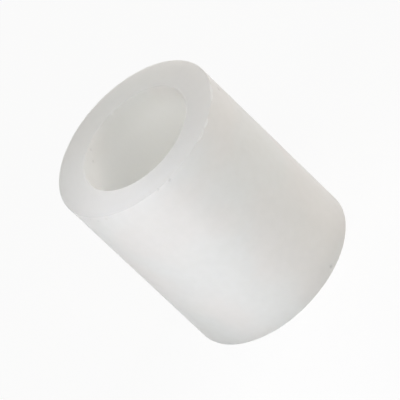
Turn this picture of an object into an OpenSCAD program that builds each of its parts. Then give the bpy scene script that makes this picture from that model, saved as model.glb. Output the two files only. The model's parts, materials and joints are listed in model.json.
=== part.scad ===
// Round spacer: a plain natural nylon tube, cut square at both ends.
// Sizes are in millimetres. It stands on one end face, with +Z along the bore,
// and its origin is the centre of the lower end face.

/* [Tube] */
// Diameter of the bore, which clears a quarter inch or an M6 screw
bore_d = 6.35; // [2:0.05:25.4]
// Thickness of the wall, from the bore to the outside
wall_t = 1.5875; // [0.5:0.0125:6]
// Length from end face to end face
length = 11.1125; // [2:0.0125:50.8]

/* [Edges] */
// Width of the break on the two outer rims
rim_break = 0.03; // [0.02:0.01:0.4]
// Width of the break on the two mouths of the bore
mouth_break = 0.03; // [0.02:0.01:0.4]

/* [Hidden] */
$fn = 128;
bore_r = bore_d / 2;
outer_r = bore_r + wall_t;
// The breaks leave a thin wall at least a third of its width as flat end face
rim_cut = min(rim_break, wall_t / 3);
mouth_cut = min(mouth_break, wall_t / 3);

// Section of the wall: bore on the left, outside on the right, with its four corners broken
module wall_section() {
    polygon([
        [bore_r, mouth_cut],
        [bore_r + mouth_cut, 0],
        [outer_r - rim_cut, 0],
        [outer_r, rim_cut],
        [outer_r, length - rim_cut],
        [outer_r - rim_cut, length],
        [bore_r + mouth_cut, length],
        [bore_r, length - mouth_cut]
    ]);
}

// The whole spacer: the wall's section turned once about the bore's axis
module spacer() {
    color("#E3E3DD")
        rotate_extrude()
            wall_section();
}

spacer();
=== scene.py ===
"""Looks of a round spacer: a short tube of natural nylon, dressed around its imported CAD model."""
import json
import math

import bmesh
import bpy
from mathutils import Matrix, Vector


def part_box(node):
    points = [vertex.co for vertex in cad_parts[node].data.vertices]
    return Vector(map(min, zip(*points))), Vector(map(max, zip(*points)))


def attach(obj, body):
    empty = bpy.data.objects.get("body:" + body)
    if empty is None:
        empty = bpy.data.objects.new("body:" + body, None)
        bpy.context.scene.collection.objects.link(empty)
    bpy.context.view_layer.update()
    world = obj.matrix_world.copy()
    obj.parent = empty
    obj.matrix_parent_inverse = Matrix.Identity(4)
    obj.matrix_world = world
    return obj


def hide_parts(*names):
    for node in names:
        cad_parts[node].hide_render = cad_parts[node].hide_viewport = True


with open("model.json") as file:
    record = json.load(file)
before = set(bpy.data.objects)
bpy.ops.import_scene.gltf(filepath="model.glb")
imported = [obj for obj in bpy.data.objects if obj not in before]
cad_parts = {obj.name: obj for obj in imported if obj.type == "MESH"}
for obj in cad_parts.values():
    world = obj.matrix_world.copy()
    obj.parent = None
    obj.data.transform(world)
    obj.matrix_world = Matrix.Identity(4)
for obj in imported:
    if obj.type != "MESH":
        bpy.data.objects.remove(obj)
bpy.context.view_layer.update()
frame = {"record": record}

MM = 0.001

# Sizes of the spacer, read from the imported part
LOW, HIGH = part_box("spacer")
MIDDLE = (LOW + HIGH) / 2
LENGTH = HIGH.z - LOW.z
OUTER_R = (HIGH.y - LOW.y) / 2
BORE = next(m for m in frame["record"]["mounts"] if m["name"] == "bore")["dims"]
BORE_R = BORE["r_mm"] * MM
# The bore's straight wall stops short of each end by the break on its mouths
EDGE_BREAK = (LENGTH - BORE["length_mm"] * MM) / 2

# Fineness of the mesh
ROUND_STEPS = 240
WALL_CUTS = 47
FACE_CUTS = 15
EDGE_SEGMENTS = 3
MARK_CUTS = 5
FINE_EDGE = 0.05 * MM
MERGE_DISTANCE = 0.001 * MM
SHARP_ANGLE = math.radians(45)

# Natural nylon: its tints, how far light travels in it, and how dull its skin and its cut ends are
COOL_NYLON = "#F3F4F1"
WARM_NYLON = "#F5F2EE"
CRYSTAL_SHADE = "#E2E1DB"
# White for worn nylon, the cut ends and painted light
PALE_AND_PAINTED_LIGHT_WHITE = "#FCFCFA"
# Grey for painted shade
PAINTED_SHADE_GREY = "#8F8D86"
NYLON_IOR = 1.53
MILKINESS = 0.6
LIGHT_TRAVEL = 5.0 * MM
LIGHT_TRAVEL_RGB = (1.0, 0.98, 0.94)
SATIN_ROUGHNESS = (0.38, 0.48)
CUT_DULLNESS = 0.20
# Its patterns, by size
CLOUD_SIZE = 4.5 * MM
CLOUD_SPAN = (0.38, 0.62)
MOTTLE_SIZE = 0.45 * MM
MOTTLE_SPAN = (0.3, 0.7)
MOTTLE_SHADE = 0.12
# Die lines along the walls are about 0.05 mm apart, drawn four times as coarse so that they show
DIE_LINE_SPACING = 0.2 * MM
DIE_LINE_LENGTH = 15 * MM
# Tool marks round the cut ends are about 0.08 mm apart, drawn three times as coarse so that they show
RING_SPACING = 0.25 * MM
RING_WOBBLE = 3.0
# The rings' depth as a share of the die lines'
RING_SHARE = 0.35
RELIEF_DEPTH = 0.004 * MM
# A wave texture of scale 1 has its rings this far apart
WAVE_RING = math.pi / 10

# Wear, painted light and painted shade. Angles are in degrees from +X about the bore, and -Y, at 270, faces
# the camera.
# Soft marks and patches of painted light and shade fade out inside a ball: radius, angle and height of its
# middle, its reach and the mark's strength
RUBBED_AND_PAINTED_LIGHT = (
    # Painted light: a glow over the near part of the upper end, its mouth and the top of the wall
    (2.0 * MM, 230, LENGTH + 0.5 * MM, 3.4 * MM, 1.35),
    # A white chip on the far side of the upper mouth
    (BORE_R, 88, LENGTH, 0.15 * MM, 0.9),
)
PAINTED_SHADE_PATCHES = (
    # Painted shade: the far part of the upper end darker
    (3.6 * MM, 80, LENGTH, 3.6 * MM, 0.06),
    # Painted shade: the lower wall darker around 200 degrees
    (OUTER_R, 200, 1.0 * MM, 3.5 * MM, 0.14),
)
# Cutting left the end faces paler than the skin, and painted shade darkens the rims a little.
# Both are found by how far a normal leans along the bore.
CUT_LEAN = 0.9
CUT_WHITENESS = 0.5
RIM_LEAN = (0.3, 0.95)
RIM_PAINTED_SHADE = 0.08
# Painted light: the bore's wall is painted paler with depth below each mouth, fully so from this depth on
PAINTED_BORE_LIGHT_DEPTH = 2.0 * MM
# Scrapes that cut the outer rim's corner: middle angle, how many degrees it reaches each way, and depth
SCRAPES = (
    (299, 6, 0.10 * MM),
    (308, 5, 0.08 * MM),
    (329, 5, 0.08 * MM),
    (336, 6, 0.10 * MM),
)
SCRAPE_WHITENESS = 0.9
# The mesh is made finer down to this many depths from the corner
SCRAPE_MARGIN = 3
# Nicks: radius of their wall, angle, how far below the upper end, width, and how much painted shade darkens
# them
NICKS = (
    (OUTER_R, 203.0, 0.19 * MM, 0.18 * MM, 0.08),
    (OUTER_R, 208.5, 0.33 * MM, 0.20 * MM, 0.10),
    (OUTER_R, 216.5, 0.23 * MM, 0.18 * MM, 0.08),
    (OUTER_R, 257.5, 0.05 * MM, 0.22 * MM, 0.18),
    (OUTER_R, 266.5, 0.10 * MM, 0.28 * MM, 0.24),
    (OUTER_R, 345.0, 0.79 * MM, 0.34 * MM, 0.25),
    (OUTER_R, 296.0, 10.88 * MM, 0.30 * MM, 0.30),
    (OUTER_R, 193.5, 2.60 * MM, 0.26 * MM, 0.15),
    (BORE_R, 127.5, 0.22 * MM, 0.24 * MM, 0.15),
    (BORE_R, 135.5, 0.60 * MM, 0.24 * MM, 0.20),
)
# A nick's depth as a share of its width
NICK_SLOPE = 0.10

# Camera: where it looks from, how wide the picture is at the spacer,
# and how far right of and above the picture's middle the spacer's middle sits
VIEW_ELEVATION = math.radians(33.44)
VIEW_ROLL = math.radians(-46.42)
CAMERA_DISTANCE = 303.6 * MM
PICTURE_WIDTH = 19.91 * MM
PICTURE_RIGHT = 0.142 * MM
PICTURE_UP = -0.145 * MM
NEAREST_SEEN = 10 * MM
FARTHEST_SEEN = 2000 * MM

# Studio. The floor lies a little below the spacer's foot, so that light creeps under it.
FLOOR_SIZE = 1200 * MM
FLOOR_GAP = 0.12 * MM
FLOOR_PAPER = "#FCFCFC"
FLOOR_GLOW = 0.92
WHITE = (1, 1, 1, 1)
WORLD_LIGHT = 0.12
# Soft boxes: name, angle about the bore, elevation, distance from the spacer's middle, size, level and colour
LAMPS = (
    ("key", 270, 50, 150 * MM, 50 * MM, 0.21, "#FFFFF6"),
    ("right", 10, 20, 150 * MM, 50 * MM, 0.29, "#FFF8F3"),
    ("side", 345, 25, 150 * MM, 50 * MM, 0.12, "#FFFBF7"),
    ("back", 95, 5, 150 * MM, 20 * MM, 0.27, "#FFFFF8"),
    ("front", 215, 30, 150 * MM, 50 * MM, 0.125, "#FFFFF8"),
    ("left", 200, 10, 40 * MM, 20 * MM, 0.095, "#FAFBFF"),
    ("low", 240, 10, 20 * MM, 8 * MM, 0.19, "#F0F1FF"),
    ("near", 230, 74, 11 * MM, 5 * MM, 0.085, "#F0F1FF"),
)
# Light has to pass many times between the milky wall and the floor before it leaves the bore
LIGHT_BOUNCES = 24
DIFFUSE_BOUNCES = 16


def linear(hex_colour):
    """An sRGB hex colour as the linear RGBA that a shader takes."""
    channels = [int(hex_colour[i:i + 2], 16) / 255 for i in (1, 3, 5)]
    return tuple(c / 12.92 if c <= 0.04045 else ((c + 0.055) / 1.055) ** 2.4 for c in channels) + (1.0,)


def add_node(tree, kind, settings=None, **links):
    """Adds a node, sets its attributes, and gives each input a value or another node's output.
    An input goes by its name, with _ for a space, or by its number, as in _0 for the first."""
    node = tree.nodes.new(kind)
    for name, value in (settings or {}).items():
        setattr(node, name, value)
    for name, value in links.items():
        socket = node.inputs[int(name[1:]) if name[1:].isdigit() else name.replace("_", " ")]
        if isinstance(value, bpy.types.NodeSocket):
            tree.links.new(value, socket)
        else:
            socket.default_value = value
    return node


def new_material(name):
    """An empty node material."""
    material = bpy.data.materials.new(name)
    material.use_nodes = True
    material.node_tree.nodes.clear()
    return material, material.node_tree


def natural_nylon():
    """Undyed nylon, extruded and cut to length. It is milky: light sinks in and comes out of the bore again,
    so shade is soft, and the satin skin gives one broad highlight with no sharp reflections."""
    material, tree = new_material("natural_nylon_extruded")
    place = add_node(tree, "ShaderNodeTexCoord").outputs["Object"]
    paleness_and_painted_light, painted_shade, cut_face = (
        add_node(tree, "ShaderNodeAttribute", {"attribute_name": name}).outputs["Fac"]
        for name in ("paleness_and_painted_light", "painted_shade", "cut_face"))

    # Clouds a few millimetres wide, where the nylon set at a different rate, drift from cool to warm
    clouds = add_node(tree, "ShaderNodeTexNoise", Vector=place, Scale=1 / CLOUD_SIZE, Detail=1.0)
    drift = add_node(tree, "ShaderNodeMapRange", {"interpolation_type": "SMOOTHSTEP"},
                     Value=clouds.outputs["Fac"], From_Min=CLOUD_SPAN[0], From_Max=CLOUD_SPAN[1])
    colour = add_node(tree, "ShaderNodeMix", {"data_type": "RGBA"},
                      _0=drift.outputs[0], _6=linear(COOL_NYLON), _7=linear(WARM_NYLON)).outputs[2]
    # Fine mottle of the crystals just under the skin
    mottle = add_node(tree, "ShaderNodeTexNoise", Vector=place,
                      Scale=1 / MOTTLE_SIZE, Detail=2.0).outputs["Fac"]
    shade = add_node(tree, "ShaderNodeMapRange", Value=mottle,
                     From_Min=MOTTLE_SPAN[0], From_Max=MOTTLE_SPAN[1], To_Max=MOTTLE_SHADE).outputs[0]
    # The mottle shades the nylon, worn nylon, the cut ends and painted light go white, and painted shade
    # darkens the nicks, the rims and a few patches
    for share, tint in ((shade, CRYSTAL_SHADE), (paleness_and_painted_light, PALE_AND_PAINTED_LIGHT_WHITE), (painted_shade, PAINTED_SHADE_GREY)):
        colour = add_node(tree, "ShaderNodeMix", {"data_type": "RGBA"},
                          _0=share, _6=colour, _7=linear(tint)).outputs[2]

    # Die lines run along the walls, and shallower tool rings run round the cut ends
    along = add_node(tree, "ShaderNodeMapping", Vector=place,
                     Scale=(1 / DIE_LINE_SPACING, 1 / DIE_LINE_SPACING, 1 / DIE_LINE_LENGTH))
    die_lines = add_node(tree, "ShaderNodeTexNoise", Vector=along.outputs[0],
                         Scale=1.0, Detail=1.0).outputs["Fac"]
    rings = add_node(tree, "ShaderNodeTexWave", {"wave_type": "RINGS", "rings_direction": "Z"}, Vector=place,
                     Scale=WAVE_RING / RING_SPACING, Distortion=RING_WOBBLE, Detail=1.0).outputs["Fac"]
    shallow = add_node(tree, "ShaderNodeMath", {"operation": "MULTIPLY"}, _0=rings, _1=RING_SHARE)
    relief = add_node(tree, "ShaderNodeMix", _0=cut_face, _2=die_lines, _3=shallow.outputs[0]).outputs[0]
    bump = add_node(tree, "ShaderNodeBump", Strength=1.0, Distance=RELIEF_DEPTH, Height=relief)
    # The skin is satin, and the cut ends are duller
    satin = add_node(tree, "ShaderNodeMapRange", Value=mottle,
                     From_Min=MOTTLE_SPAN[0], From_Max=MOTTLE_SPAN[1],
                     To_Min=SATIN_ROUGHNESS[0], To_Max=SATIN_ROUGHNESS[1])
    roughness = add_node(tree, "ShaderNodeMath", {"operation": "MULTIPLY_ADD"},
                         _0=cut_face, _1=CUT_DULLNESS, _2=satin.outputs[0])

    shader = add_node(
        tree, "ShaderNodeBsdfPrincipled",
        Base_Color=colour,
        Roughness=roughness.outputs[0],
        IOR=NYLON_IOR,
        Normal=bump.outputs[0],
        Subsurface_Weight=MILKINESS,
        Subsurface_Radius=LIGHT_TRAVEL_RGB,
        Subsurface_Scale=LIGHT_TRAVEL,
    )
    add_node(tree, "ShaderNodeOutputMaterial", Surface=shader.outputs["BSDF"])
    return material


def seen_directly(tree):
    """One for rays from the lens and for mirror and glass rays, and nought for light on its way."""
    ray = add_node(tree, "ShaderNodeLightPath").outputs
    seen = ray["Is Camera Ray"]
    for other in ("Is Glossy Ray", "Is Transmission Ray"):
        seen = add_node(tree, "ShaderNodeMath", {"operation": "MAXIMUM"}, _0=seen, _1=ray[other]).outputs[0]
    return seen


def white_floor():
    """Matt white paper. The lens sees it almost self-lit, so it stays white but keeps a soft shadow."""
    material, tree = new_material("matt_white_paper")
    share = add_node(tree, "ShaderNodeMath", {"operation": "MULTIPLY"},
                     _0=seen_directly(tree), _1=FLOOR_GLOW)
    paper = add_node(tree, "ShaderNodeBsdfDiffuse", Color=linear(FLOOR_PAPER))
    glow = add_node(tree, "ShaderNodeEmission", Color=WHITE, Strength=1.0)
    mixed = add_node(tree, "ShaderNodeMixShader",
                     _0=share.outputs[0], _1=paper.outputs[0], _2=glow.outputs[0])
    add_node(tree, "ShaderNodeOutputMaterial", Surface=mixed.outputs[0])
    return material


def new_object(name, bm, material):
    """Turns a finished bmesh into an object at the origin."""
    mesh = bpy.data.meshes.new(name)
    bm.to_mesh(mesh)
    bm.free()
    mesh.materials.append(material)
    obj = bpy.data.objects.new(name, mesh)
    bpy.context.scene.collection.objects.link(obj)
    return obj


def turn_tube(bm):
    """The tube: the wall's section turned about the bore, with its four rims rounded off."""
    section = [bm.verts.new(co) for co in (
        (BORE_R, 0, 0), (OUTER_R, 0, 0), (OUTER_R, 0, LENGTH), (BORE_R, 0, LENGTH))]
    edges = [bm.edges.new((section[i], section[(i + 1) % 4])) for i in range(4)]
    bmesh.ops.subdivide_edges(bm, edges=[edges[0], edges[2]], cuts=FACE_CUTS)
    bmesh.ops.subdivide_edges(bm, edges=[edges[1], edges[3]], cuts=WALL_CUTS)
    bmesh.ops.spin(bm, geom=bm.verts[:] + bm.edges[:], axis=(0, 0, 1), cent=(0, 0, 0), dvec=(0, 0, 0),
                   angle=math.tau, steps=ROUND_STEPS, use_merge=True)
    bmesh.ops.remove_doubles(bm, verts=bm.verts[:], dist=MERGE_DISTANCE)
    bmesh.ops.recalc_face_normals(bm, faces=bm.faces[:])
    rims = [e for e in bm.edges if e.calc_face_angle(0) > SHARP_ANGLE]
    bmesh.ops.bevel(bm, geom=rims, affect="EDGES", offset=EDGE_BREAK, segments=EDGE_SEGMENTS,
                    profile=0.5, material=-1)


def fade(distance, reach):
    """One in the middle of a mark, falling smoothly to nought at its reach."""
    return max(0.0, 1 - (distance / reach) ** 2) ** 2


def refine(bm, inside):
    """Makes the mesh finer where inside(point) holds, and leaves edges alone that are fine already."""
    edges = {e for f in bm.faces if inside(f.calc_center_median()) for e in f.edges}
    long_edges = [e for e in edges if e.calc_length() > FINE_EDGE]
    bmesh.ops.subdivide_edges(bm, edges=long_edges, cuts=MARK_CUTS, use_grid_fill=True, use_single_edge=True)


def on_round(radius, angle, height):
    """A point at an angle in degrees about the bore."""
    a = math.radians(angle)
    return Vector((radius * math.cos(a), radius * math.sin(a), height))


def round_place(point):
    """A point's distance from the bore's axis, and its angle in degrees."""
    return math.hypot(point.x, point.y), math.degrees(math.atan2(point.y, point.x)) % 360


def past_corner(point):
    """A point's distance out from the outer wall plus its height above the upper end."""
    return round_place(point)[0] - OUTER_R + point.z - LENGTH


def marks_and_painted_light_shade(bm, paleness_and_painted_light, painted_shade):
    """A white chip, a glow of painted light and patches of painted shade, all fading out, and painted light
    that pales the bore with depth.
    """
    for layer, marks in ((paleness_and_painted_light, RUBBED_AND_PAINTED_LIGHT), (painted_shade, PAINTED_SHADE_PATCHES)):
        for radius, angle, height, reach, strength in marks:
            middle = on_round(radius, angle, height)
            for vert in bm.verts:
                mark = min(1.0, strength * fade((vert.co - middle).length, reach))
                vert[layer] = max(vert[layer], mark)
    # Painted light: the bore pales with depth below each mouth
    for vert in bm.verts:
        if round_place(vert.co)[0] < BORE_R + EDGE_BREAK / 2:
            from_mouth = min(vert.co.z, LENGTH - vert.co.z)
            vert[paleness_and_painted_light] = max(vert[paleness_and_painted_light], 1 - fade(from_mouth, PAINTED_BORE_LIGHT_DEPTH))


def cut_nicks(bm, painted_shade):
    """Small dents in the walls, darkened inside with painted shade."""
    for wall, angle, drop, width, shade_share in NICKS:
        spot = on_round(wall, angle, LENGTH - drop)
        inwards = on_round(1 if wall == BORE_R else -1, angle, 0)
        refine(bm, lambda point: (point - spot).length < width)
        for vert in bm.verts:
            depth = fade((vert.co - spot).length, width / 2)
            if depth:
                vert.co += inwards * depth * width * NICK_SLOPE
                # Painted shade in the dent
                vert[painted_shade] = max(vert[painted_shade], depth * shade_share)


def scrape_rim(bm, paleness_and_painted_light):
    """Stretches of the upper outer rim where the corner is scraped off slantwise and whitened."""
    for middle, spread, depth in SCRAPES:
        def near_scrape(point):
            from_middle = abs(round_place(point)[1] - middle)
            return from_middle < spread and past_corner(point) > -SCRAPE_MARGIN * depth

        refine(bm, near_scrape)
        for vert in filter(lambda v: near_scrape(v.co), bm.verts):
            radius, angle = round_place(vert.co)
            over = past_corner(vert.co) + depth * fade(angle - middle, spread)
            if over > 0:
                vert.co = on_round(radius - over / 2, angle, vert.co.z - over / 2)
                vert[paleness_and_painted_light] = SCRAPE_WHITENESS


def make_spacer(material):
    """The whole spacer, with its marks cut into the mesh or kept as attributes that the nylon reads."""
    bm = bmesh.new()
    turn_tube(bm)
    paleness_and_painted_light, painted_shade, cut_face = (bm.verts.layers.float.new(name) for name in ("paleness_and_painted_light", "painted_shade", "cut_face"))
    bm.normal_update()
    for vert in bm.verts:
        lean = abs(vert.normal.z)
        vert[cut_face] = 1.0 if lean > CUT_LEAN else 0.0
        vert[paleness_and_painted_light] = CUT_WHITENESS * vert[cut_face]
        # Painted shade darkens the rims
        vert[painted_shade] = RIM_PAINTED_SHADE if RIM_LEAN[0] < lean < RIM_LEAN[1] else 0.0
    marks_and_painted_light_shade(bm, paleness_and_painted_light, painted_shade)
    cut_nicks(bm, painted_shade)
    scrape_rim(bm, paleness_and_painted_light)
    for face in bm.faces:
        face.smooth = True
    body = new_object("spacer_body", bm, material)
    # The flat faces keep their shade right up to the narrow rims
    body.modifiers.new("flat_faces", "WEIGHTED_NORMAL")
    return body


def make_floor():
    """A flat sheet of paper that the spacer stands on."""
    bm = bmesh.new()
    bmesh.ops.create_grid(bm, x_segments=1, y_segments=1, size=FLOOR_SIZE / 2)
    bmesh.ops.translate(bm, verts=bm.verts[:], vec=(0, 0, LOW.z - FLOOR_GAP))
    floor = new_object("floor", bm, white_floor())


def make_camera():
    """Looks down on the standing spacer, rolled so that its axis runs to the upper left of the picture."""
    back = Vector((0, -math.cos(VIEW_ELEVATION), math.sin(VIEW_ELEVATION)))
    right = Vector((1, 0, 0))
    up = back.cross(right)
    rolled_right = math.cos(VIEW_ROLL) * right + math.sin(VIEW_ROLL) * up
    rolled_up = back.cross(rolled_right)
    data = bpy.data.cameras.new("camera")
    data.sensor_fit = "HORIZONTAL"
    data.lens = data.sensor_width * CAMERA_DISTANCE / PICTURE_WIDTH
    data.clip_start = NEAREST_SEEN
    data.clip_end = FARTHEST_SEEN
    camera = bpy.data.objects.new("camera", data)
    place = MIDDLE + back * CAMERA_DISTANCE - rolled_right * PICTURE_RIGHT - rolled_up * PICTURE_UP
    turn = Matrix((rolled_right, rolled_up, back)).transposed().to_4x4()
    camera.matrix_world = Matrix.Translation(place) @ turn
    bpy.context.scene.collection.objects.link(camera)
    bpy.context.scene.camera = camera


def make_lamp(name, azimuth, elevation, distance, size, level, colour):
    """A square soft box that looks at the spacer's middle.
    At level 1 a white face turned to it renders white."""
    a, e = math.radians(azimuth), math.radians(elevation)
    way = Vector((math.cos(a) * math.cos(e), math.sin(a) * math.cos(e), math.sin(e)))
    data = bpy.data.lights.new(name, "AREA")
    data.size = size
    data.energy = level * (math.pi * distance) ** 2
    data.color = linear(colour)[:3]
    lamp = bpy.data.objects.new(name, data)
    turn = way.to_track_quat("Z", "Y").to_matrix().to_4x4()
    lamp.matrix_world = Matrix.Translation(MIDDLE + way * distance) @ turn
    lamp.visible_camera = False
    bpy.context.scene.collection.objects.link(lamp)


def make_world():
    """A dim white room that the lens sees as plain white."""
    world = bpy.data.worlds.new("studio")
    world.use_nodes = True
    tree = world.node_tree
    strength = add_node(tree, "ShaderNodeMath", {"operation": "MAXIMUM"},
                        _0=seen_directly(tree), _1=WORLD_LIGHT)
    background = tree.nodes["Background"]
    background.inputs["Color"].default_value = WHITE
    tree.links.new(strength.outputs[0], background.inputs["Strength"])
    bpy.context.scene.world = world


spacer = make_spacer(natural_nylon())
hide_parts("spacer")
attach(spacer, "root")
make_floor()
make_camera()
make_world()
for lamp in LAMPS:
    make_lamp(*lamp)
bpy.context.scene.cycles.max_bounces = LIGHT_BOUNCES
bpy.context.scene.cycles.diffuse_bounces = DIFFUSE_BOUNCES
bpy.context.scene.view_settings.view_transform = "Standard"
